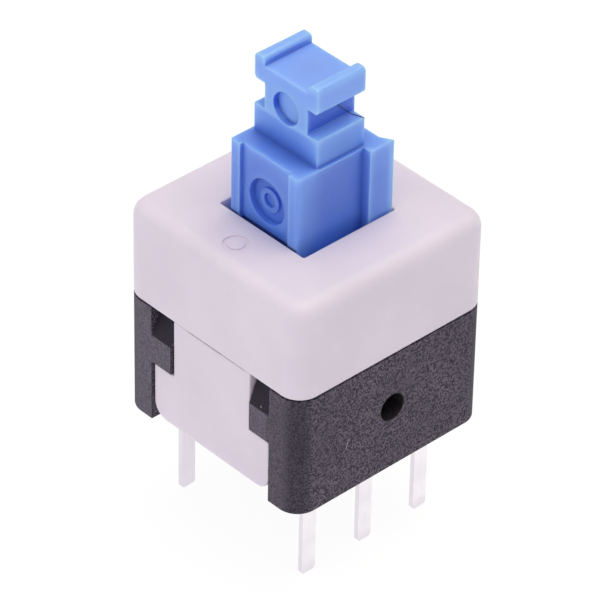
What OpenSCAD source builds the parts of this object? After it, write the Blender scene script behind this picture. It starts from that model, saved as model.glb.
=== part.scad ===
// Momentary push switch with a square body, six flat legs and a stepped push stem.
// Sizes are in millimetres. Z = 0 is the underside of the base, which sits on a circuit board.
// X runs along the two rows of legs, and the wall with the round hole looks to -Y.

/* [Body] */
// Side of the square cover
cover_side = 8.45; // [8.2:0.05:9.4]
// Height of the cover above the base
cover_height = 3.6; // [3.2:0.1:5]
// Thickness of the cover's four walls
cover_wall = 0.9; // [0.75:0.05:1.1]
// Thickness of the cover's roof
cover_roof = 0.9; // [0.6:0.05:1.4]
// Radius of the soft edge round the cover's roof
roof_fillet = 0.55; // [0.2:0.05:0.7]
// Side of the square base
base_side = 8.45; // [8.3:0.05:9.4]
// Height of the base, up to the cover's lower edge
base_height = 4.7; // [4.5:0.1:6.5]
// Height and depth of the seam groove round the base's upper edge, below the cover
seam = 0.06; // [0.03:0.01:0.12]
// Thickness of the base's floor
base_floor = 1; // [0.6:0.05:1.2]
// Radius of the upright corners of the cover and the base
corner_radius = 0.8; // [0.75:0.05:1]
// Thickness of the base's thin walls behind the skirts
side_wall = 0.5; // [0.3:0.05:0.6]
// Diameter of the round hole in the base's front wall
pin_hole = 1; // [0.6:0.05:1.4]
// Height of the round hole's centre above the underside
pin_hole_z = 2.5; // [1.6:0.05:3]

/* [Skirts and hooks] */
// Thickness of the cover's two snap skirts
skirt_thickness = 0.6; // [0.4:0.05:0.7]
// How far a skirt's face lies behind the cover's face
skirt_step = 0.08; // [0.04:0.02:0.2]
// Width of a skirt's lower part
skirt_wide = 5.6; // [5.2:0.1:5.9]
// Width of a skirt's upper part, between the hooks
skirt_narrow = 3.7; // [3:0.1:4.4]
// Height of a skirt's lower edge above the underside
skirt_lift = 0.25; // [0.1:0.05:0.6]
// Radius of a skirt's lower corners
skirt_corner = 0.6; // [0.2:0.05:0.8]
// Height of the hooks' ledge above the underside
hook_ledge = 2.4; // [1.9:0.1:3]
// Height of the flush part of a hook, below its lead-in ramp
hook_flat = 1.1; // [0.6:0.1:1.3]
// How far the lead-in ramp falls back at its top
hook_ramp = 0.5; // [0.2:0.05:0.55]
// Clearance between the cover and the base
snap_gap = 0.05; // [0.02:0.01:0.1]

/* [Push stem] */
// Side of the square hole in the cover's roof
hole_side = 4; // [3.9:0.05:4.4]
// Clearance of the stem in the hole and of the rails in the base
slide_gap = 0.06; // [0.03:0.01:0.12]
// How far the stem goes down when it is pushed
travel = 2; // [1:0.1:2.2]
// Width of the stem's block, across the rows
block_width = 3.2; // [2.9:0.05:3.5]
// Height of the block above the cover when it is released
block_rise = 2.73; // [2.4:0.05:4]
// Radius of the block's upright edges
block_round = 0.1; // [0.05:0.05:0.6]
// Width of the two ribs at the sides of the block's marked face
rib_width = 0.45; // [0.3:0.05:0.7]
// Depth of the panel between those ribs
panel_depth = 0.15; // [0.05:0.01:0.25]
// Length of the two guide fins along the rows
fin_length = 1.05; // [0.6:0.05:1.2]
// How far the fins' tips stand out past the block's end face
fin_splay = 0.26; // [0.1:0.02:0.4]
// Length of the tier, the neck and the head along the rows
head_length = 2.05; // [1.6:0.05:2.6]
// Width of the tier and the head, across the rows
head_width = 2.96; // [2.7:0.02:3.4]
// Height of the tier on the block
tier_height = 1.05; // [0.6:0.05:1.6]
// Width of the neck
neck_width = 2; // [1.6:0.05:2.2]
// Height of the neck
neck_height = 0.97; // [0.5:0.05:1.5]
// Height of the two lips of the head
lip_height = 0.95; // [0.6:0.05:1.2]
// Width of a lip's raised rim
lip_rim = 0.46; // [0.42:0.02:0.6]
// Depth of the head's top face below the rims
lip_depth = 0.32; // [0.1:0.02:0.4]
// Radius of the lips' outer corners
lip_round = 0.14; // [0.1:0.02:0.25]

/* [Stem inside the body] */
// Width of the carrier, across the rows
carrier_width = 4; // [3.7:0.05:4.2]
// Length of the carrier along the rows, without its rails
carrier_length = 3.5; // [3.3:0.05:4.4]
// Width of the two guide rails
rail_width = 1.4; // [0.8:0.05:1.8]
// Thickness of the flange that stops under the roof
flange_thickness = 1; // [0.7:0.05:1.3]
// How far the flange stands out past the carrier, across the rows
flange_reach = 0.6; // [0.5:0.02:0.7]
// Gap left above the flange and below the carrier at the ends of the travel
stop_gap = 0.06; // [0.04:0.01:0.15]
// Height of the foot ledges that the clips stand on
foot_height = 0.2; // [0.15:0.01:0.3]
// How far the foot ledges stand out of the carrier
foot_reach = 0.3; // [0.2:0.02:0.4]
// Diameter of the pegs that hold the clips
peg_diameter = 0.6; // [0.4:0.05:0.9]

/* [Return spring] */
// Outer diameter of the spring
spring_outer = 2.4; // [2:0.05:2.6]
// Diameter of the spring's wire
spring_wire = 0.26; // [0.18:0.01:0.3]
// Number of turns
spring_turns = 7; // [5:1:8]
// Depth of the spring's pocket in the carrier
spring_pocket = 2.9; // [2.4:0.1:3.2]
// Clearance round the spring, inside and outside
spring_gap = 0.15; // [0.08:0.01:0.2]
// Height of the boss that centres the spring
boss_height = 0.8; // [0.4:0.05:1]

/* [Contacts] */
// Distance between legs of one row
leg_pitch = 2.54; // [2.3:0.02:2.6]
// Distance between the two rows
row_spacing = 6; // [5.8:0.05:6.2]
// Width of a leg
leg_width = 0.6; // [0.4:0.05:0.7]
// Thickness of the leg sheet
leg_thickness = 0.2; // [0.15:0.01:0.26]
// Length of a leg below the underside
leg_length = 3.8; // [2.5:0.05:5]
// Length of the slanted corners at a leg's tip
tip_length = 0.1; // [0.05:0.01:0.6]
// Width that a leg's tip keeps
tip_width = 0.46; // [0.15:0.01:0.48]
// How far the closed terminals' shoulders stand out on the floor
shoulder = 0.3; // [0.1:0.02:0.5]
// Height of those shoulders
shoulder_height = 0.4; // [0.2:0.05:0.6]
// Clearance of a leg in its slot in the floor
leg_fit = 0.01; // [0.005:0.005:0.03]
// Height of the upper and the lower contact plates
plate_height = 1.3; // [1:0.05:1.5]
// How far a contact plate reaches past its finger
plate_margin = 0.12; // [0.05:0.01:0.15]
// Thickness of the clips' spring strip
clip_strip = 0.12; // [0.08:0.01:0.16]
// Width of a finger of a clip
finger_width = 0.6; // [0.4:0.02:0.7]
// Distance between fingers
finger_pitch = 1.15; // [1:0.01:1.2]
// Height of the fingers' contact line above the carrier's lower end
finger_rise = 0.65; // [0.55:0.05:0.8]
// Clearance between the fingers and the contact plates
contact_gap = 0.05; // [0.03:0.01:0.1]
// Height of a clip's back plate
clip_height = 2.6; // [2.2:0.1:2.7]
// Inner radius of the clip's bend
clip_bend = 0.14; // [0.1:0.01:0.18]

/* [Mould marks] */
// Diameter of the round recess in the neck's side
neck_mark = 1.2; // [0.6:0.05:1.6]
// Diameter of the round recess in the block's side
block_mark = 1.65; // [0.8:0.05:2]
// Height of that recess's centre above the cover when the stem is released
block_mark_rise = 1; // [0.9:0.05:1.6]
// Depth of the two recesses
recess_depth = 0.22; // [0.04:0.01:0.3]
// Diameter of the raised ring inside the block's recess
core_ring = 0.85; // [0.5:0.05:1.2]
// Height of that ring
core_rise = 0.1; // [0.02:0.01:0.12]
// Diameter of the ring groove in the cover's roof
roof_mark = 0.9; // [0.5:0.05:1.2]
// Depth of the ring groove
groove_depth = 0.05; // [0.01:0.01:0.1]
// Width of both rings
ring_width = 0.16; // [0.08:0.02:0.24]

/* [Hidden] */
$fn = 64;
// Overlap of cutting shapes, so that no cut ends on a face
cut = 1;
// Heights of the cover's top and of its roof's underside
top_z = base_height + cover_height;
roof_z = top_z - cover_roof;
// Planes of the skirts and of the thin walls behind them, seen along X
skirt_outer = cover_side / 2 - skirt_step;
skirt_inner = skirt_outer - skirt_thickness;
recess_x = skirt_inner - snap_gap;
cavity_x = recess_x - side_wall;
// Inner faces of the base's thick walls, which the contact plates stand against
cavity_y = row_spacing / 2 + leg_thickness / 2;
plate_face = row_spacing / 2 - leg_thickness / 2;
// Heights of the stem's parts when it is released
flange_z = roof_z - stop_gap;
carrier_z = base_floor + travel + stop_gap;
foot_z = carrier_z + foot_height;
block_z = top_z + block_rise;
tier_z = block_z + tier_height;
neck_z = tier_z + neck_height;
// The block's end faces and the fins' tips, seen in plan
fin_x = hole_side / 2 - slide_gap;
block_end = fin_x - fin_splay;
pocket_z = carrier_z + spring_pocket;
// Height of the fingers' contact line when the stem is released and when it is pushed
rest_contact = carrier_z + finger_rise;
push_contact = rest_contact - travel;
plate_top = rest_contact + plate_height / 2;
clip_width = 2 * finger_pitch + finger_width;
peg_z = foot_z + clip_height / 2;
plate_edge = finger_pitch - finger_width / 2 - plate_margin;
// Spring seen as a wire round its own centre line
coil_radius = (spring_outer - spring_wire) / 2;
spring_length = pocket_z - base_floor;
// Facets round the wire and along one turn of the spring
wire_sides = 8;
turn_steps = 20;

cover_white = [0.86, 0.84, 0.88];
base_black = [0.17, 0.16, 0.18];
stem_blue = [0.36, 0.53, 0.87];
leg_tin = [0.84, 0.84, 0.86];
clip_bronze = [0.76, 0.58, 0.36];
spring_steel = [0.62, 0.63, 0.66];

// Rectangle with round corners, centred on the origin
module round_rect(x, y, r) {
    square([x - 2 * r, y], center = true);
    square([x, y - 2 * r], center = true);
    for (i = [-1, 1], j = [-1, 1])
        translate([i * (x / 2 - r), j * (y / 2 - r)])
            circle(r);
}

// Quarter of a disc, in the corner between +X and +Y
module quarter_disc(r) {
    intersection() {
        circle(r);
        square(r);
    }
}

// Square block with round upright corners and a soft edge round its top
module soft_block(side, height, corner, fillet) {
    straight = side - 2 * corner;
    linear_extrude(height - fillet)
        round_rect(side, side, corner);
    translate([0, 0, height - fillet]) {
        linear_extrude(fillet)
            round_rect(side - 2 * fillet, side - 2 * fillet, corner - fillet);
        for (turn = [0 : 90 : 270])
            rotate(turn) {
                translate([side / 2 - fillet, straight / 2, 0])
                    rotate([90, 0, 0])
                        linear_extrude(straight)
                            quarter_disc(fillet);
                translate([straight / 2, straight / 2, 0])
                    rotate_extrude(angle = 90)
                        translate([corner - fillet, 0])
                            quarter_disc(fillet);
            }
    }
}

// Stands a flat outline drawn across the rows (Y) and up (Z) at x, with a thickness along X
module stand_x(x, thickness) {
    translate([x, 0, 0])
        rotate([90, 0, 90])
            linear_extrude(thickness)
                children();
}

// Stands a flat outline drawn along the rows (X) and up (Z) at y, with a thickness along Y
module stand_y(y, thickness) {
    translate([0, y + thickness, 0])
        rotate([90, 0, 0])
            linear_extrude(thickness)
                children();
}

// Flat ring that stands on the XY plane
module flat_ring(diameter, height) {
    linear_extrude(height)
        difference() {
            circle(d = diameter);
            circle(d = diameter - 2 * ring_width);
        }
}

// Round recess, sunk below the XY plane
module round_recess(diameter) {
    translate([0, 0, -recess_depth])
        cylinder(h = recess_depth + cut, d = diameter);
}

// Outline of a snap skirt: wide ears below, a narrow tongue between the hooks above
module skirt_outline() {
    ear_top = hook_ledge - snap_gap;
    ear_height = ear_top - skirt_lift;
    intersection() {
        translate([0, skirt_lift + ear_height])
            round_rect(skirt_wide, 2 * ear_height, skirt_corner);
        translate([-skirt_wide / 2, skirt_lift])
            square([skirt_wide, ear_height]);
    }
    translate([-skirt_narrow / 2, ear_top - skirt_corner])
        square([skirt_narrow, base_height - ear_top + 2 * skirt_corner]);
}

module cover() {
    inner = cover_side - 2 * cover_wall;
    color(cover_white) {
        difference() {
            translate([0, 0, base_height])
                soft_block(cover_side, cover_height, corner_radius, roof_fillet);
            translate([-inner / 2, -inner / 2, base_height - cut])
                cube([inner, inner, roof_z - base_height + cut]);
            translate([-hole_side / 2, -hole_side / 2, base_height])
                cube([hole_side, hole_side, cover_height + cut]);
            translate([-(cover_side + hole_side) / 4, 0, top_z - groove_depth])
                flat_ring(roof_mark, groove_depth + cut);
        }
        for (x = [skirt_inner, -skirt_outer])
            stand_x(x, skirt_thickness)
                skirt_outline();
    }
}

// Section of a hook, drawn outwards from the thin wall (X) and up (Z)
module hook_section() {
    root = side_wall / 2;
    face = base_side / 2 - recess_x;
    polygon([
        [-root, hook_ledge],
        [face, hook_ledge],
        [face, hook_ledge + hook_flat],
        [face - hook_ramp, base_height],
        [-root, base_height]
    ]);
}

// Plan of the base's cavity: the room for the stem, and the niches that the two rows of terminals stand in
module cavity_plan() {
    square([2 * cavity_x, 2 * cavity_y], center = true);
    for (j = [-1, 1])
        translate([0, j * (row_spacing - leg_fit) / 2])
            square([2 * (leg_pitch + leg_fit) + leg_width, leg_thickness + leg_fit], center = true);
}

// Outside of the base: a square block with two recesses for the skirts and a hook at each of their ends
module base_block() {
    recess_width = skirt_wide + 2 * snap_gap;
    pocket = base_side / 2 - recess_x;
    hook_start = skirt_narrow / 2 + snap_gap;
    hook_width = recess_width / 2 - hook_start + side_wall / 2;
    difference() {
        union() {
            linear_extrude(base_height - seam)
                round_rect(base_side, base_side, corner_radius);
            linear_extrude(base_height)
                round_rect(base_side - 2 * seam, base_side - 2 * seam, corner_radius - seam);
        }
        for (i = [-1, 1])
            translate([i * (recess_x + pocket), 0, base_height / 2])
                cube([2 * pocket, recess_width, base_height + cut], center = true);
    }
    for (i = [0, 1], j = [0, 1])
        mirror([i, 0, 0])
            mirror([0, j, 0])
                translate([recess_x, 0, 0])
                    stand_y(hook_start, hook_width)
                        hook_section();
}

module base() {
    slot = [leg_width + 2 * leg_fit, leg_thickness + 2 * leg_fit, base_floor + cut];
    color(base_black) {
        difference() {
            base_block();
            translate([0, 0, base_floor])
                linear_extrude(base_height)
                    cavity_plan();
            translate([0, -cavity_y + cut / 2, pin_hole_z])
                rotate([90, 0, 0])
                    cylinder(h = base_side / 2 - cavity_y + cut, d = pin_hole);
            for (x = [-leg_pitch, 0, leg_pitch], j = [-1, 1])
                translate([x, j * row_spacing / 2, base_floor / 2])
                    cube(slot, center = true);
        }
        translate([0, 0, base_floor])
            cylinder(h = boss_height, d = spring_outer - 2 * spring_wire - 2 * spring_gap);
    }
}

// Plan of the stem's block, with a panel in its marked face and two splayed guide fins
module block_plan() {
    start = -fin_x;
    difference() {
        translate([(start + block_end) / 2, 0])
            round_rect(block_end - start, block_width, block_round);
        translate([start, 0])
            square([2 * panel_depth, block_width - 2 * rib_width], center = true);
    }
    for (m = [0, 1])
        mirror([0, m])
            polygon([
                [fin_x - fin_length, 0],
                [fin_x - fin_length, fin_x],
                [fin_x, fin_x],
                [block_end, block_width / 2 - block_round],
                [block_end, 0]
            ]);
}

// Upright outline of the tier, the neck and the head, seen along the rows
module head_outline() {
    half = head_width / 2;
    translate([-half, block_z - cut])
        square([head_width, tier_height + cut]);
    translate([-neck_width / 2, tier_z - cut])
        square([neck_width, neck_height + lip_height - lip_depth + cut]);
    for (m = [0, 1])
        mirror([m, 0])
            translate([half - lip_rim / 2, neck_z + lip_height / 2]) {
                round_rect(lip_rim, lip_height, lip_round);
                translate([-lip_rim, -lip_height / 2])
                    square([lip_rim, lip_height - lip_depth]);
            }
}

// Parts of the stem inside the body: the flange, kept clear of the clips, and the carrier with its
// rails, foot ledges and pegs
module carrier() {
    rail = cavity_x - slide_gap;
    clip_room = clip_width + 2 * slide_gap;
    difference() {
        translate([0, 0, flange_z - flange_thickness])
            linear_extrude(flange_thickness)
                square([2 * rail, carrier_width + 2 * flange_reach], center = true);
        for (m = [0, 1])
            mirror([0, m, 0])
                translate([-clip_room / 2, carrier_width / 2, foot_z])
                    cube([clip_room, flange_reach + cut, clip_height + slide_gap]);
    }
    translate([0, 0, carrier_z])
        linear_extrude(flange_z - carrier_z) {
            square([carrier_length, carrier_width], center = true);
            square([2 * rail, rail_width], center = true);
        }
    translate([0, 0, carrier_z])
        linear_extrude(foot_height)
            square([carrier_length, carrier_width + 2 * foot_reach], center = true);
    translate([0, 0, peg_z])
        rotate([90, 0, 0])
            cylinder(h = carrier_width + 2 * clip_strip, d = peg_diameter, center = true);
}

module plunger() {
    color(stem_blue)
        difference() {
            union() {
                carrier();
                translate([0, 0, flange_z - flange_thickness])
                    linear_extrude(block_z - flange_z + flange_thickness)
                        block_plan();
                stand_x(-head_length / 2, head_length)
                    head_outline();
            }
            translate([0, 0, carrier_z - cut])
                cylinder(h = spring_pocket + cut, d = spring_outer + 2 * spring_gap);
            translate([panel_depth - fin_x, 0, top_z + block_mark_rise])
                rotate([0, -90, 0])
                    difference() {
                        round_recess(block_mark);
                        translate([0, 0, -recess_depth - cut])
                            flat_ring(core_ring, cut + core_rise);
                    }
            translate([-head_length / 2, 0, (tier_z + neck_z) / 2])
                rotate([0, -90, 0])
                    round_recess(neck_mark);
        }
}

// Height of the spring's centre line after a number of turns, with one closed turn at each end
function coil_z(turn) =
    turn < 1 ? spring_wire * (turn + 0.5)
    : turn > spring_turns - 1 ? spring_length - spring_wire * (spring_turns - turn + 0.5)
    : spring_wire * 1.5
        + (turn - 1) * (spring_length - 3 * spring_wire) / (spring_turns - 2);

module return_spring() {
    sides = wire_sides;
    steps = turn_steps * spring_turns;
    points = [
        for (i = [0 : steps], k = [0 : sides - 1])
            let (turn = i * spring_turns / steps, a = 360 * turn, b = 360 * k / sides)
            let (r = coil_radius + spring_wire / 2 * cos(b))
            [r * cos(a), r * sin(a), coil_z(turn) + spring_wire / 2 * sin(b)]
    ];
    walls = [
        for (i = [0 : steps - 1], k = [0 : sides - 1])
            let (p = i * sides + k, q = i * sides + (k + 1) % sides)
            [p, p + sides, q + sides, q]
    ];
    first_end = [for (k = [0 : sides - 1]) k];
    last_end = [for (k = [sides - 1 : -1 : 0]) steps * sides + k];
    color(spring_steel)
        translate([0, 0, base_floor])
            polyhedron(points, concat(walls, [first_end, last_end]));
}

// Straight stretch of the clip's strip between two points, with round ends
module strip(a, b) {
    translate(a)
        rotate(atan2(b[1] - a[1], b[0] - a[0]))
            translate([0, -clip_strip / 2])
                square([norm(b - a), clip_strip]);
    for (p = [a, b])
        translate(p)
            circle(d = clip_strip);
}

// The clip's back plate and its bend, drawn outwards from the carrier's face (X) and up (Z)
module clip_back() {
    bend = clip_bend + clip_strip / 2;
    top = foot_z + clip_height - clip_bend - clip_strip;
    translate([0, foot_z])
        square([clip_strip, top - foot_z]);
    translate([clip_strip / 2 + bend, top])
        intersection() {
            difference() {
                circle(clip_bend + clip_strip);
                circle(clip_bend);
            }
            translate([-2 * bend, 0])
                square([4 * bend, 2 * bend]);
        }
}

// One finger: it leans out to its contact line and curls back below it
module clip_finger() {
    bend = clip_bend + clip_strip / 2;
    knee = plate_face - contact_gap - carrier_width / 2 - clip_strip / 2;
    root = [clip_strip / 2 + 2 * bend, foot_z + clip_height - clip_bend - clip_strip];
    line = [knee, rest_contact];
    curl = (finger_rise - foot_height) / 2;
    strip(root, line);
    strip(line, [knee - curl, foot_z + clip_strip]);
}

// Clip on the front face of the carrier, made of one bent strip with three fingers
module clip() {
    color(clip_bronze)
        mirror([0, 1, 0])
            translate([0, carrier_width / 2, 0]) {
                difference() {
                    stand_x(-clip_width / 2, clip_width)
                        clip_back();
                    translate([0, clip_strip / 2, peg_z])
                        rotate([90, 0, 0])
                            cylinder(h = 2 * clip_strip, d = peg_diameter, center = true);
                }
                for (i = [-1, 0, 1])
                    stand_x(i * finger_pitch - finger_width / 2, finger_width)
                        clip_finger();
            }
}

module clip_front() {
    clip();
}

module clip_rear() {
    mirror([0, 1, 0])
        clip();
}

// Leg at x, up to the floor's upper face, drawn along the rows and up
module leg_outline(x) {
    half = leg_width / 2;
    translate([x, 0])
        polygon([
            [-half, base_floor],
            [-half, tip_length - leg_length],
            [-tip_width / 2, -leg_length],
            [tip_width / 2, -leg_length],
            [half, tip_length - leg_length],
            [half, base_floor]
        ]);
}

// Normally closed contact: a stem beside the plate carries it at the upper level
module closed_outline() {
    leg_outline(-leg_pitch);
    translate([-leg_pitch - leg_width / 2, base_floor]) {
        square([leg_width, plate_top - base_floor]);
        square([leg_width + shoulder, shoulder_height]);
    }
    translate([-leg_pitch, plate_top - plate_height])
        square([leg_pitch - plate_edge, plate_height]);
}

// Common contact: its plate reaches over both levels
module common_outline() {
    leg_outline(0);
    translate([-finger_width / 2 - plate_margin, base_floor])
        square([finger_width + 2 * plate_margin, plate_top - base_floor]);
}

// Normally open contact: its plate stands on the floor, at the lower level
module open_outline() {
    leg_outline(leg_pitch);
    translate([plate_edge, base_floor])
        square([leg_pitch + leg_width / 2 - plate_edge, push_contact + plate_height / 2 - base_floor]);
}

// Sheet-metal terminal of the front row, cut from an outline
module terminal() {
    color(leg_tin)
        stand_y(-cavity_y, leg_thickness)
            children();
}

// The rear row is the front row mirrored
module rear() {
    mirror([0, 1, 0])
        children();
}

module terminal_front_closed() { terminal() closed_outline(); }
module terminal_front_common() { terminal() common_outline(); }
module terminal_front_open() { terminal() open_outline(); }
module terminal_rear_closed() { rear() terminal_front_closed(); }
module terminal_rear_common() { rear() terminal_front_common(); }
module terminal_rear_open() { rear() terminal_front_open(); }

cover();
base();
plunger();
return_spring();
clip_front();
clip_rear();
terminal_front_closed();
terminal_front_common();
terminal_front_open();
terminal_rear_closed();
terminal_rear_common();
terminal_rear_open();
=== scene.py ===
"""Looks of the momentary push switch: soft edges, plastics, tinned legs, light and camera."""
import math
import bpy
from mathutils import Matrix, Vector


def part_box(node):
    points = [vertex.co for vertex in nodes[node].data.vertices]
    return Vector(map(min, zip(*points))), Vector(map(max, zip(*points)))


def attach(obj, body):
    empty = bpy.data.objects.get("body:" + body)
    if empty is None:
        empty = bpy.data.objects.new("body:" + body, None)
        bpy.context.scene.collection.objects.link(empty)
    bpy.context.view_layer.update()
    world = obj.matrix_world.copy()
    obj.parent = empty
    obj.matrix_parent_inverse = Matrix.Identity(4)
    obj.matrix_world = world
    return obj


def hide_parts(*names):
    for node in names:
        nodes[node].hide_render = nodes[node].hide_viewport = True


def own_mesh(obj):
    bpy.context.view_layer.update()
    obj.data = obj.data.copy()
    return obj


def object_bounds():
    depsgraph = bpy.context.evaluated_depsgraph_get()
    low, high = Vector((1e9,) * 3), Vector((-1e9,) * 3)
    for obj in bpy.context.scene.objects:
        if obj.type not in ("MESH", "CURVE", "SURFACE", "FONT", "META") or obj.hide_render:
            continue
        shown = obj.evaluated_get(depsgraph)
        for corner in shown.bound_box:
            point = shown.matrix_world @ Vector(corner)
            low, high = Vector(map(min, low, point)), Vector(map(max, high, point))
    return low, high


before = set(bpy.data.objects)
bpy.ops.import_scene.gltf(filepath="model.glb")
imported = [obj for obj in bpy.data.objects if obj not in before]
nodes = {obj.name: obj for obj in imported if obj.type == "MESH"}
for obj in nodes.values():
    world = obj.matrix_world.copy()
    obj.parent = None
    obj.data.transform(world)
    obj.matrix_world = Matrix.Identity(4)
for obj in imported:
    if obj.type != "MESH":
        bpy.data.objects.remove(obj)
cad_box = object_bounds()
terminals = [name for name in nodes if name.startswith("terminal")]
MM = 0.001
WHITE = (1, 1, 1, 1)

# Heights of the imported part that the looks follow, in metres
cover_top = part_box("cover")[1].z
cap_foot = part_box("base")[1].z
stem_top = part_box("plunger")[1].z
leg_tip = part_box("terminal_front_common")[0].z
LIP_HEIGHT = 0.95 * MM
NECK_HEIGHT = 0.97 * MM
neck_top = stem_top - LIP_HEIGHT
tier_top = neck_top - NECK_HEIGHT

# The base's front face in millimetres, the unit in which spots and scratches are placed
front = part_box("base")[0].y / MM


# Small helpers for node trees

AO_SAMPLES = 12


def new_material(name):
    """A material with a Principled shader; returns it with its tree and its shader."""
    mat = bpy.data.materials.new(name)
    mat.use_nodes = True
    tree = mat.node_tree
    return mat, tree, tree.nodes["Principled BSDF"]


def fill(tree, node, inputs):
    """Sets a node's inputs, given by name or number, or links them to the outputs of other nodes."""
    for key, value in inputs.items():
        socket = node.inputs[key]
        if isinstance(value, bpy.types.NodeSocket):
            tree.links.new(value, socket)
        else:
            socket.default_value = value


def add(tree, kind, inputs=None, **props):
    """Adds a node, sets its properties and fills its inputs."""
    node = tree.nodes.new(kind)
    for key, value in props.items():
        setattr(node, key, value)
    fill(tree, node, inputs or {})
    return node


def math_node(tree, what, a, b=0.0, clamp=False):
    """One step of arithmetic."""
    return add(tree, "ShaderNodeMath", {0: a, 1: b}, operation=what, use_clamp=clamp).outputs[0]


def times(tree, a, b):
    """The product of two values."""
    return math_node(tree, "MULTIPLY", a, b)


def most(tree, a, b):
    """The larger of two values."""
    return math_node(tree, "MAXIMUM", a, b)


def unsigned(tree, value):
    """A value without its sign."""
    return math_node(tree, "ABSOLUTE", value)


def less(tree, value, mask):
    """A value that falls to nothing where the mask is 1."""
    return times(tree, value, math_node(tree, "SUBTRACT", 1.0, mask, True))


def spread(tree, value, low, high, to_low=0.0, to_high=1.0):
    """Maps a range of values to another one, and stays inside it."""
    inputs = {0: value, 1: low, 2: high, 3: to_low, 4: to_high}
    return add(tree, "ShaderNodeMapRange", inputs, clamp=True).outputs[0]


def band(tree, value, bottom, full_from, full_to, top):
    """1 between two limits and 0 beyond them, with soft ends."""
    return times(tree, spread(tree, value, bottom, full_from), spread(tree, value, top, full_to))


def split(tree, vector):
    """X, Y and Z of a vector."""
    return add(tree, "ShaderNodeSeparateXYZ", {"Vector": vector}).outputs


def noise(tree, at, per_mm, detail=2.0, rough=0.5):
    """Smooth noise with so many features in a millimetre, from 0 to 1."""
    inputs = {"Vector": at, "Scale": per_mm / MM, "Detail": detail, "Roughness": rough}
    return add(tree, "ShaderNodeTexNoise", inputs).outputs["Fac"]


def blend(tree, amount, a, b):
    """Mixes two colours."""
    return add(tree, "ShaderNodeMix", {0: amount, 6: a, 7: b}, data_type="RGBA").outputs[2]


def bump(tree, height, depth_mm):
    """Turns a height from 0 to 1 into a bump of that depth."""
    inputs = {"Strength": 1.0, "Distance": depth_mm * MM, "Height": height}
    return add(tree, "ShaderNodeBump", inputs).outputs[0]


def place(tree):
    """Coordinates of the object in metres, which stay with the part when it moves."""
    return add(tree, "ShaderNodeTexCoord").outputs["Object"]


def facing(tree):
    """X, Y and Z of the surface's direction, in the object's own axes."""
    return split(tree, add(tree, "ShaderNodeTexCoord").outputs["Normal"])


def near_edges(tree, reach_mm, inside):
    """1 on open faces and lower near edges: outer edges if inside is set, inner corners if not."""
    node = add(tree, "ShaderNodeAmbientOcclusion", {"Distance": reach_mm * MM},
               inside=inside, only_local=True, samples=AO_SAMPLES)
    return node.outputs["AO"]


def spot(tree, at, centre, reach, fade=0.85, turn=(0.0, 0.0, 0.0)):
    """1 in an ellipsoid and 0 outside it; reach is its half size along each axis, all in millimetres."""
    inputs = {"Vector": at, "Location": Vector(centre) * MM, "Rotation": turn, "Scale": Vector(reach) * MM}
    local = add(tree, "ShaderNodeMapping", inputs, vector_type="TEXTURE").outputs[0]
    far = add(tree, "ShaderNodeVectorMath", {0: local}, operation="LENGTH").outputs["Value"]
    return spread(tree, far, fade, 1.0, 1.0, 0.0)


def scratch(tree, at, start, end, half_width):
    """1 along a fine scratch between two points, fading at its sides and ends, all in millimetres."""
    start, end = Vector(start), Vector(end)
    along = end - start
    turn = Vector((1, 0, 0)).rotation_difference(along).to_euler()
    return spot(tree, at, (start + end) / 2, (along.length / 2, half_width, half_width),
                fade=0.5, turn=turn)


# White cover

COVER_COOL = (0.735, 0.662, 0.765, 1)
COVER_WARM = (0.785, 0.702, 0.805, 1)
COVER_SPECK = (0.58, 0.51, 0.58, 1)
# Painted shade in the step below the cap's edge, above its skirts: how far it reaches down, and its fades
STEP_SHADE = (0.17, 0.14, 0.17, 1)
STEP_SHADE_REACH = 0.125 * MM
STEP_SHADE_LOWER_FADE = 0.03 * MM
STEP_SHADE_UPPER_FADE = 0.02 * MM


def cover_material():
    """Satin white plastic, a little cool and pink, with faint clouds, specks and painted shade in the step
    above its skirts.
    """
    mat, tree, shader = new_material("cover_plastic_look")
    at = place(tree)
    cloud = noise(tree, at, per_mm=0.35, detail=3.0)
    speck = noise(tree, at, per_mm=9.0, rough=0.7)
    tone = blend(tree, spread(tree, cloud, 0.35, 0.65), COVER_COOL, COVER_WARM)
    tone = blend(tree, spread(tree, speck, 0.70, 0.80, 0.0, 0.25), tone, COVER_SPECK)
    # Painted shade below the cap's overhanging edge, broken up by noise
    shade_foot = cap_foot - STEP_SHADE_REACH
    step = band(tree, split(tree, at)["Z"], shade_foot, shade_foot + STEP_SHADE_LOWER_FADE,
                cap_foot - STEP_SHADE_UPPER_FADE, cap_foot)
    patch = noise(tree, at, per_mm=1.6)
    step = times(tree, step, spread(tree, patch, 0.38, 0.60, 0.2, 0.85))
    fill(tree, shader, {
        "Base Color": blend(tree, step, tone, STEP_SHADE),
        "Roughness": spread(tree, noise(tree, at, per_mm=1.6, detail=3.0), 0.3, 0.7, 0.42, 0.56),
        "Normal": bump(tree, noise(tree, at, per_mm=14.0), depth_mm=0.004),
        "Subsurface Weight": 0.35,
        "Subsurface Radius": (1.0, 0.9, 1.0),
        "Subsurface Scale": 0.35 * MM,
        "Specular IOR Level": 0.4,
    })
    return mat


# Black base

GRAIN_DARK = (0.013, 0.008, 0.016, 1)
GRAIN_PALE = (0.172, 0.142, 0.193, 1)
BASE_CLOUD = (0.050, 0.041, 0.060, 1)
SMOOTH_FACE_SHADE = (0.020, 0.013, 0.025, 1)
BASE_SPECK = (0.33, 0.29, 0.34, 1)
HOLLOW_SHADE = (0.010, 0.007, 0.010, 1)
# Painted light on the sides with the hooks: its tones at the front corners and behind them, and where along
# Y they meet
SIDE_LIGHT_FRONT = (0.094, 0.077, 0.105, 1)
SIDE_LIGHT_HOOKS = (0.168, 0.146, 0.197, 1)
SIDE_BREAK = -2.75 * MM
SIDE_FADE = 0.05 * MM
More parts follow.
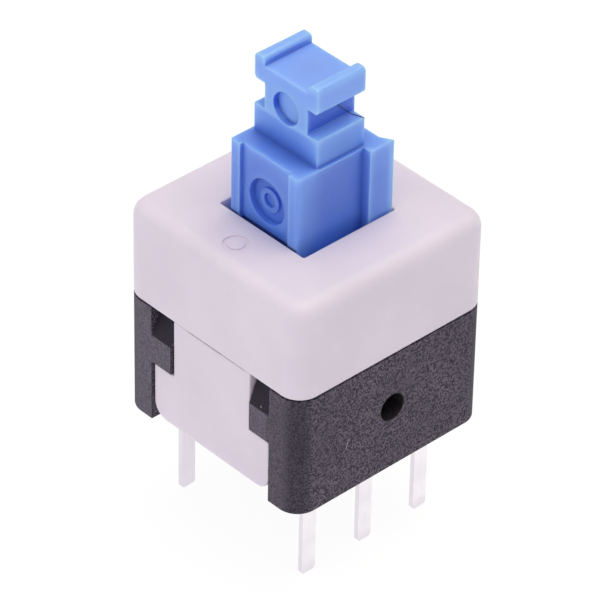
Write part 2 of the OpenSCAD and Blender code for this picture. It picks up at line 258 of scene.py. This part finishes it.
# Scratch on the front face and shade in its round hole, in millimetres
SCRATCH_START = (-1.93, front, 2.23)
SCRATCH_END = (-2.09, front, 1.74)
SCRATCH_HALF_WIDTH = 0.035
PIN_HOLE = (0.0, front, 2.5)
PIN_HOLE_REACH = (0.53, 5.0, 0.53)


def base_material():
    """Black moulded plastic: grained faces, smooth corners and hook ramps in painted shade, sides in
    painted light, painted shade in hollows and the hole, pale specks, a scratch.
    """
    mat, tree, shader = new_material("base_plastic_look")
    at = place(tree)
    nx, ny, nz = facing(tree)
    grain = noise(tree, at, per_mm=15.0, rough=0.7)
    tone = blend(tree, spread(tree, grain, 0.40, 0.61), GRAIN_DARK, GRAIN_PALE)
    cloud = spread(tree, noise(tree, at, per_mm=0.5, detail=3.0), 0.4, 0.65, 0.0, 0.3)
    tone = blend(tree, cloud, tone, BASE_CLOUD)
    # The sides with the hooks are painted paler than the front as painted light, most of all behind the
    # front corners
    behind = spread(tree, split(tree, at)["Y"], SIDE_BREAK - SIDE_FADE, SIDE_BREAK + SIDE_FADE)
    side = spread(tree, unsigned(tree, nx), 0.85, 0.95, 0.0, 0.42)
    tone = blend(tree, side, tone, blend(tree, behind, SIDE_LIGHT_FRONT, SIDE_LIGHT_HOOKS))
    # Round upright corners and the ramps of the hooks are told by the way they face; they are smoother, and
    # painted darker as painted shade
    corner = spread(tree, unsigned(tree, times(tree, nx, ny)), 0.12, 0.45)
    ramp = band(tree, nz, 0.2, 0.33, 0.45, 0.6)
    smooth = most(tree, times(tree, corner, 0.6), ramp)
    tone = blend(tree, smooth, tone, SMOOTH_FACE_SHADE)
    speck = spread(tree, noise(tree, at, per_mm=3.1, detail=1.0), 0.765, 0.79, 0.0, 0.55)
    line = scratch(tree, at, SCRATCH_START, SCRATCH_END, SCRATCH_HALF_WIDTH)
    tone = blend(tree, most(tree, speck, times(tree, line, 0.8)), tone, BASE_SPECK)
    # Painted shade in inner corners and in the round hole
    hollow_shade = spread(tree, near_edges(tree, reach_mm=1.2, inside=False), 0.20, 0.50, 0.9, 0.0)
    hole_shade = spot(tree, at, PIN_HOLE, PIN_HOLE_REACH, fade=0.96)
    tone = blend(tree, most(tree, hollow_shade, times(tree, hole_shade, 0.9)), tone, HOLLOW_SHADE)
    rough = spread(tree, grain, 0.3, 0.7, 0.55, 0.75)
    fill(tree, shader, {
        "Base Color": tone,
        "Roughness": math_node(tree, "SUBTRACT", rough, times(tree, smooth, 0.2)),
        "Normal": bump(tree, grain, depth_mm=0.03),
        "Specular IOR Level": 0.2,
    })
    return mat


# Blue stem

# Colours at shares of the height from the cover's top to the stem's top; besides the blue itself they hold
# painted light and shade: the block's foot, the tier's top, the head and its rims painted paler, the head's
# top face between the rims painted darker
STEM_STOPS = (
    # Block
    (0.000, (0.100, 0.250, 0.860, 1)),
    (0.160, (0.090, 0.205, 0.720, 1)),
    (0.440, (0.102, 0.212, 0.720, 1)),
    # Tier and its top
    (0.530, (0.128, 0.282, 0.790, 1)),
    (0.635, (0.142, 0.305, 0.830, 1)),
    (0.655, (0.310, 0.540, 0.970, 1)),
    (0.675, (0.310, 0.540, 0.970, 1)),
    # Neck and lips
    (0.705, (0.235, 0.430, 0.930, 1)),
    (0.860, (0.240, 0.455, 0.960, 1)),
    # The head's top face and its rims
    (0.940, (0.220, 0.350, 0.850, 1)),
    (0.975, (0.310, 0.530, 0.950, 1)),
)
STEM_CLOUD = (0.150, 0.250, 0.700, 1)
STEM_THIN_GLOW = (0.240, 0.430, 0.930, 1)
STEM_CORNER_SHADE = (0.034, 0.105, 0.560, 1)
STEM_EDGE_GLOW = (0.330, 0.550, 0.960, 1)
# Spots over the block's round mark and the upper part of the neck's, in millimetres
BLOCK_SPOT = (-1.79, 0.0, 9.3)
BLOCK_SPOT_REACH = (0.5, 0.98, 0.98)
NECK_SPOT = (-1.02, 0.0, 12.9)
NECK_SPOT_REACH = (0.5, 0.75, 0.75)
# Faces that look up are spared most of the corners' painted shade from these depths below the tier's top
LEDGE_START = 0.18 * MM
LEDGE_FULL = 0.08 * MM
# Neck: a painted highlight line at its foot and painted shade above it, with their fades
NECK_HIGHLIGHT = (0.250, 0.430, 0.930, 1)
NECK_SHADE = (0.038, 0.125, 0.700, 1)
NECK_LOWER_FADE = 0.02 * MM
NECK_UPPER_FADE = 0.05 * MM
NECK_LINE = 0.05 * MM
NECK_LINE_FADE = 0.03 * MM
# Painted shade of the gap in the cover's hole: half the hole's side, how steeply the shade's upper edge
# falls where a face stands back from the hole, the height of that edge above the cover at the hole, and
# where along X the shade starts
GAP_SHADE = (0.025, 0.028, 0.160, 1)
HOLE_HALF = 2.0 * MM
GAP_SLOPE = 0.73
GAP_HEIGHT = 0.02 * MM
GAP_FADE = 0.05 * MM
GAP_START = 1.6 * MM
GAP_START_FADE = 0.1 * MM


def stem_heights(tree, height):
    """The stem's colour by height, with the painted light and shade that its stops hold."""
    ramp = add(tree, "ShaderNodeValToRGB", {0: spread(tree, height, cover_top, stem_top)})
    elements = ramp.color_ramp.elements
    while len(elements) < len(STEM_STOPS):
        elements.new(0.5)
    for element, (share, colour) in zip(elements, STEM_STOPS):
        element.position = share
        element.color = colour
    return ramp.outputs[0]


def neck_shade(tree, blue, height, ny):
    """Painted shade on the neck below the lips, and a painted highlight line at its foot."""
    below = band(tree, height, tier_top, tier_top + NECK_LOWER_FADE, neck_top - NECK_UPPER_FADE, neck_top)
    below = times(tree, below, spread(tree, unsigned(tree, ny), 0.85, 0.95))
    line_top = tier_top + NECK_LINE
    shade = blend(tree, spread(tree, height, line_top, line_top + NECK_LINE_FADE), NECK_HIGHLIGHT, NECK_SHADE)
    return blend(tree, times(tree, below, 0.8), blue, shade)


def hole_gap_shade(tree, blue, x, height, nx):
    """Painted shade of the gap at the two ends of the hole in the cover, lower where the panel stands back.
    """
    across = unsigned(tree, x)
    level = math_node(tree, "ADD", height, times(tree, across, -GAP_SLOPE))
    gap_top = cover_top - GAP_SLOPE * HOLE_HALF + GAP_HEIGHT
    gap = spread(tree, level, gap_top + GAP_FADE, gap_top)
    gap = times(tree, gap, spread(tree, unsigned(tree, nx), 0.7, 0.9))
    gap = times(tree, gap, spread(tree, across, GAP_START, GAP_START + GAP_START_FADE))
    return blend(tree, times(tree, gap, 0.8), blue, GAP_SHADE)


def stem_material():
    """Waxy blue plastic that lets light through, with painted light and shade: painted darker in the block
    and in inner corners, painted pale in the thin head and at edges.
    """
    mat, tree, shader = new_material("stem_plastic_look")
    at = place(tree)
    axes = split(tree, at)
    height = axes["Z"]
    nx, ny, nz = facing(tree)
    block_mark = spot(tree, at, BLOCK_SPOT, BLOCK_SPOT_REACH)
    marks = most(tree, block_mark, spot(tree, at, NECK_SPOT, NECK_SPOT_REACH))
    cloud = spread(tree, noise(tree, at, per_mm=0.6, detail=3.0), 0.4, 0.7, 0.0, 0.15)
    blue = blend(tree, cloud, stem_heights(tree, height), STEM_CLOUD)
    # Painted light: thin parts are painted paler, as light that passes through them
    thin = spread(tree, near_edges(tree, reach_mm=1.2, inside=True), 0.35, 0.95, 0.7, 0.0)
    thin = less(tree, thin, times(tree, block_mark, 0.8))
    blue = blend(tree, thin, blue, STEM_THIN_GLOW)
    # Painted shade in inner corners, but less so in the marks and on the upward faces of the tier and the
    # head
    corner = spread(tree, near_edges(tree, reach_mm=1.1, inside=False), 0.30, 0.85, 0.85, 0.0)
    ledge = times(tree, nz, spread(tree, height, tier_top - LEDGE_START, tier_top - LEDGE_FULL))
    corner = less(tree, corner, times(tree, marks, 0.5))
    corner = less(tree, corner, times(tree, ledge, 0.7))
    blue = blend(tree, corner, blue, STEM_CORNER_SHADE)
    blue = neck_shade(tree, blue, height, ny)
    # Painted light: outer edges are painted pale, as light let through, where no inner corner is near
    edge = spread(tree, near_edges(tree, reach_mm=0.32, inside=True), 0.45, 0.8, 0.6, 0.0)
    edge = times(tree, edge, spread(tree, near_edges(tree, reach_mm=0.4, inside=False), 0.6, 0.95))
    edge = less(tree, edge, times(tree, marks, 0.85))
    blue = blend(tree, edge, blue, STEM_EDGE_GLOW)
    fill(tree, shader, {
        "Base Color": hole_gap_shade(tree, blue, axes["X"], height, nx),
        "Roughness": spread(tree, noise(tree, at, per_mm=2.0, detail=3.0), 0.3, 0.7, 0.36, 0.50),
        "Normal": bump(tree, noise(tree, at, per_mm=5.0, detail=3.0), depth_mm=0.006),
        "Subsurface Weight": 0.8,
        "Subsurface Radius": (0.35, 0.5, 1.0),
        "Subsurface Scale": 0.5 * MM,
    })
    return mat


# Metals of the legs, the clips and the spring

TIN = (0.94, 0.895, 0.925, 1)
TIN_DULL = (0.86, 0.82, 0.865, 1)
TIN_CUT_AND_SHADE = (0.77, 0.71, 0.79, 1)
BRONZE = (0.80, 0.58, 0.33, 1)
BRONZE_DULL = (0.66, 0.46, 0.26, 1)
STEEL = (0.60, 0.60, 0.62, 1)
STEEL_DULL = (0.48, 0.48, 0.50, 1)
# Streaks are drawn out along Z
STREAK_SCALE = (1.0, 1.0, 0.12)
# A leg's dull tip and the fade above it, and the way along Y over which the rear row's painted shade comes
# in
TIP_DULL = 0.1 * MM
TIP_FADE = 0.4 * MM
REAR_FADE = 2.0 * MM


def cut_and_shade_mask(tree, at):
    """How far a leg shows the tone of cut metal at its sides and at its tip, and how far that tone is
    painted as shade all over the rear row.
    """
    side = spread(tree, unsigned(tree, facing(tree)["X"]), 0.7, 0.95, 0.0, 0.7)
    tip_top = leg_tip + TIP_DULL
    tip = spread(tree, split(tree, at)["Z"], tip_top, tip_top + TIP_FADE, 0.6, 0.0)
    # Painted shade over the rear row, which lies in the shade below the body
    rear = spread(tree, split(tree, at)["Y"], 0.0, REAR_FADE, 0.0, 0.9)
    return most(tree, most(tree, side, tip), rear)


def metal_material(name, bright, dull, smooth, rough, streaks_per_mm, cut=None):
    """Drawn metal with fine streaks, soft cloudy dulling and, if it is given, the tone of cut metal, which
    is also painted over the rear row of legs as shade.
    """
    mat, tree, shader = new_material(name)
    at = place(tree)
    drawn = add(tree, "ShaderNodeMapping", {"Vector": at, "Scale": STREAK_SCALE}).outputs[0]
    streak = noise(tree, drawn, streaks_per_mm, detail=3.0)
    cloud = noise(tree, at, per_mm=1.1, detail=3.0)
    tone = blend(tree, spread(tree, cloud, 0.35, 0.7), bright, dull)
    if cut:
        tone = blend(tree, cut_and_shade_mask(tree, at), tone, cut)
    fill(tree, shader, {
        "Base Color": tone,
        "Roughness": spread(tree, streak, 0.3, 0.7, smooth, rough),
        "Normal": bump(tree, streak, depth_mm=0.004),
        "Metallic": 1.0,
    })
    return mat


# Which piece has which look

looks = {"cover": cover_material(), "base": base_material(), "plunger": stem_material()}
tin = metal_material("tinned_leg_look", TIN, TIN_DULL,
                     smooth=0.28, rough=0.45, streaks_per_mm=10.0, cut=TIN_CUT_AND_SHADE)
bronze = metal_material("clip_bronze_look", BRONZE, BRONZE_DULL,
                        smooth=0.24, rough=0.40, streaks_per_mm=12.0)
steel = metal_material("spring_steel_look", STEEL, STEEL_DULL,
                       smooth=0.22, rough=0.38, streaks_per_mm=12.0)
looks.update({name: tin for name in terminals})
looks.update({"clip_front": bronze, "clip_rear": bronze, "return_spring": steel})
for name, look in looks.items():
    slots = nodes[name].data.materials
    for i in range(len(slots)):
        slots[i] = look


# Soft edges on the moulded and stamped pieces

CREASE = math.radians(18)
FLAT = math.radians(0.3)
TINY_FACE = 0.02 * MM * MM
WELD_REACH = 0.0001 * MM
FACE_WEIGHT = 80
# A mean of masks, or a weight, counts as set above this
ANY = 0.01
# A height in metres that no edge reaches
ABOVE_ALL = 1.0


def on_domain(tree, domain, value):
    """A field worked out on faces, points or edges; elsewhere it is the mean of those around."""
    node = add(tree, "GeometryNodeFieldOnDomain", {"Value": value}, data_type="FLOAT", domain=domain)
    return node.outputs[0]


def beside(tree, domain, mask):
    """1 where at least one of the faces, points or edges around has the mask."""
    return math_node(tree, "GREATER_THAN", on_domain(tree, domain, mask), ANY)


def edge_length(tree):
    """The distance between an edge's two ends."""
    ends = add(tree, "GeometryNodeInputMeshEdgeVertices").outputs
    inputs = {0: ends["Position 1"], 1: ends["Position 2"]}
    return add(tree, "ShaderNodeVectorMath", inputs, operation="DISTANCE").outputs["Value"]


def store_on_edges(tree, geometry, name, kind, value):
    """The geometry with a named value on each edge."""
    inputs = {"Geometry": geometry, "Name": name, "Value": value}
    node = add(tree, "GeometryNodeStoreNamedAttribute", inputs, data_type=kind, domain="EDGE")
    return node.outputs[0]


def edge_weights(name, tiny_weight, short, top):
    """Node group that marks sharp edges to round: less by tiny faces, none by short edges or above top."""
    tree = bpy.data.node_groups.new(name, "GeometryNodeTree")
    for way in ("INPUT", "OUTPUT"):
        tree.interface.new_socket("Geometry", in_out=way, socket_type="NodeSocketGeometry")
    geometry = add(tree, "NodeGroupInput").outputs[0]
    angle = add(tree, "GeometryNodeInputMeshEdgeAngle").outputs[0]
    creased = math_node(tree, "GREATER_THAN", angle, CREASE)
    area = add(tree, "GeometryNodeInputMeshFaceArea").outputs[0]
    tiny = beside(tree, "FACE", math_node(tree, "LESS_THAN", area, TINY_FACE))
    weight = times(tree, creased, spread(tree, tiny, 0.0, 1.0, 1.0, tiny_weight))
    short_edge = math_node(tree, "LESS_THAN", edge_length(tree), short)
    weight = less(tree, weight, beside(tree, "POINT", beside(tree, "EDGE", short_edge)))
    height = split(tree, add(tree, "GeometryNodeInputPosition").outputs[0])["Z"]
    weight = less(tree, weight, math_node(tree, "GREATER_THAN", on_domain(tree, "POINT", height), top))
    geometry = store_on_edges(tree, geometry, "bevel_weight_edge", "FLOAT", weight)
    # Edges that are not rounded stay sharp in the shading
    sharp = math_node(tree, "SUBTRACT", creased, math_node(tree, "GREATER_THAN", weight, ANY))
    geometry = store_on_edges(tree, geometry, "sharp_edge", "BOOLEAN", sharp)
    add(tree, "NodeGroupOutput", {0: geometry})
    return tree


def soften(name, width, segments, tiny_weight=0.0, short=0.0, top=ABOVE_ALL):
    """Rounds a piece's sharp edges with modifiers, and leaves its mesh as it is."""
    o = nodes[name]
    o.modifiers.new("weld", "WELD").merge_threshold = WELD_REACH
    flat = o.modifiers.new("flat", "DECIMATE")
    flat.decimate_type = "DISSOLVE"
    flat.angle_limit = FLAT
    o.modifiers.new("room", "NODES").node_group = edge_weights(name + "_edges", tiny_weight, short, top)
    edge = o.modifiers.new("edge", "BEVEL")
    edge.width = width
    edge.segments = segments
    edge.limit_method = "WEIGHT"
    edge.use_clamp_overlap = True
    edge.miter_outer = "MITER_ARC"
    normals = o.modifiers.new("normals", "WEIGHTED_NORMAL")
    normals.weight = FACE_WEIGHT
    normals.keep_sharp = True


soften("cover", width=0.05 * MM, segments=3)
# The base stays sharp beside its shortest edges and round the seam below the cover
soften("base", width=0.04 * MM, segments=3, short=0.03 * MM, top=cap_foot - 0.1 * MM)
soften("plunger", width=0.09 * MM, segments=4, tiny_weight=0.25)
for name in terminals:
    soften(name, width=0.025 * MM, segments=2)


# Lint that lies on the tier of the stem, from under the front lip to the tier's corner, in millimetres

LINT_RADIUS = 0.015
LINT_POINTS = (
    (0.22, -1.02, 12.72),
    (0.45, -1.03, 12.48),
    (0.67, -1.03, 12.25),
    (0.80, -1.07, 12.11),
    (0.88, -1.22, 12.10),
    (0.95, -1.40, 12.10),
    (1.00, -1.49, 12.07),
)
LINT_DARK = (0.020, 0.028, 0.090, 1)
LINT_PALE = (0.050, 0.070, 0.180, 1)


def lint_material():
    """Dark lint, uneven along its length."""
    mat, tree, shader = new_material("lint_look")
    patch = noise(tree, place(tree), per_mm=4.0)
    fill(tree, shader, {
        "Base Color": blend(tree, spread(tree, patch, 0.35, 0.65), LINT_DARK, LINT_PALE),
        "Roughness": spread(tree, patch, 0.3, 0.7, 0.6, 0.8),
    })
    return mat


def lint():
    """A thin bent fibre."""
    curve = bpy.data.curves.new("lint", "CURVE")
    curve.dimensions = "3D"
    curve.bevel_depth = LINT_RADIUS * MM
    curve.bevel_resolution = 2
    curve.use_fill_caps = True
    line = curve.splines.new("NURBS")
    line.points.add(len(LINT_POINTS) - 1)
    for point, at_mm in zip(line.points, LINT_POINTS):
        point.co = (*(Vector(at_mm) * MM), 1.0)
    line.use_endpoint_u = True
    line.order_u = 4
    o = bpy.data.objects.new("lint", curve)
    curve.materials.append(lint_material())
    bpy.context.scene.collection.objects.link(o)
    return o


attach(lint(), "stem")


# A copy of the return spring as a piece of its own, on the body

def live_spring():
    """The spring's own mesh as a piece of its own, set on the body in place of the hidden part."""
    o = bpy.data.objects.new("spring_coil", nodes["return_spring"].data.copy())
    bpy.context.scene.collection.objects.link(o)
    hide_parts("return_spring")
    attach(o, "body")
    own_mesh(o)


live_spring()


# Floor

FLOOR_HALF = 1.0
FLOOR_GAP = 0.02 * MM
FLOOR_DARK = (0.07, 0.07, 0.07, 1)
FLOOR_PALE = (0.09, 0.09, 0.09, 1)


def floor_material():
    """Pale floor that lights itself, so that it stays almost white under the part."""
    mat, tree, shader = new_material("floor_look")
    fill(tree, shader, {
        "Base Color": blend(tree, noise(tree, place(tree), per_mm=0.01), FLOOR_DARK, FLOOR_PALE),
        "Roughness": 0.9,
        "Specular IOR Level": 0.1,
        "Emission Color": WHITE,
        "Emission Strength": 0.94,
    })
    return mat


floor_z = cad_box[0].z - FLOOR_GAP
corners = [(x * FLOOR_HALF, y * FLOOR_HALF, floor_z) for x, y in ((-1, -1), (1, -1), (1, 1), (-1, 1))]
floor_mesh = bpy.data.meshes.new("floor")
floor_mesh.from_pydata(corners, [], [(0, 1, 2, 3)])
floor_mesh.materials.append(floor_material())
floor = bpy.data.objects.new("floor", floor_mesh)
bpy.context.scene.collection.objects.link(floor)


# Light: a sky that is brighter overhead, and two soft boxes

SKY_LEVEL = 0.2
SKY_OVERHEAD = 0.95
LIGHT_AIM = Vector((0.0, 0.0, 0.005))

world = bpy.data.worlds.new("studio")
bpy.context.scene.world = world
world.use_nodes = True
sky = world.node_tree
lift = split(sky, add(sky, "ShaderNodeTexCoord").outputs["Generated"])["Z"]
fill(sky, sky.nodes["Background"], {
    "Color": WHITE,
    "Strength": spread(sky, lift, 0.0, 1.0, SKY_LEVEL, SKY_OVERHEAD),
})


def soft_light(name, at, size, watts, colour):
    """A square soft box that looks at the part; places and sizes are in metres."""
    data = bpy.data.lights.new(name, "AREA")
    data.color = colour
    data.size = size
    data.energy = watts
    o = bpy.data.objects.new(name, data)
    o.location = at
    o.rotation_mode = "QUATERNION"
    o.rotation_quaternion = (LIGHT_AIM - Vector(at)).to_track_quat("-Z", "Y")
    bpy.context.scene.collection.objects.link(o)


soft_light("top_box", at=(0.07, -0.02, 0.24), size=0.20, watts=0.25, colour=(1.0, 0.94, 0.76))
soft_light("left_box", at=(-0.22, 0.02, 0.10), size=0.16, watts=0.090, colour=(0.96, 0.98, 1.0))


# Camera: its place in millimetres, and which way its right side and its back look

CAMERA_PLACE = Vector((-81.837, -86.648, 94.709))
CAMERA_RIGHT = Vector((0.7360, -0.6769, 0.0157))
CAMERA_BACK = Vector((-0.5466, -0.5805, 0.6037))
SENSOR_WIDTH = 36.0
LENS = 273.14
CLIP_START = 0.005
CLIP_END = 10.0

cam_data = bpy.data.cameras.new("camera")
cam_data.sensor_width = SENSOR_WIDTH
cam_data.lens = LENS
cam_data.clip_start = CLIP_START
cam_data.clip_end = CLIP_END
cam = bpy.data.objects.new("camera", cam_data)
bpy.context.scene.collection.objects.link(cam)
back = CAMERA_BACK.normalized()
right = (CAMERA_RIGHT - back * CAMERA_RIGHT.dot(back)).normalized()
up = back.cross(right)
turn = Matrix((right, up, back)).transposed().to_4x4()
cam.matrix_world = Matrix.Translation(CAMERA_PLACE * MM) @ turn
bpy.context.scene.camera = cam
bpy.context.scene.view_settings.view_transform = "Standard"
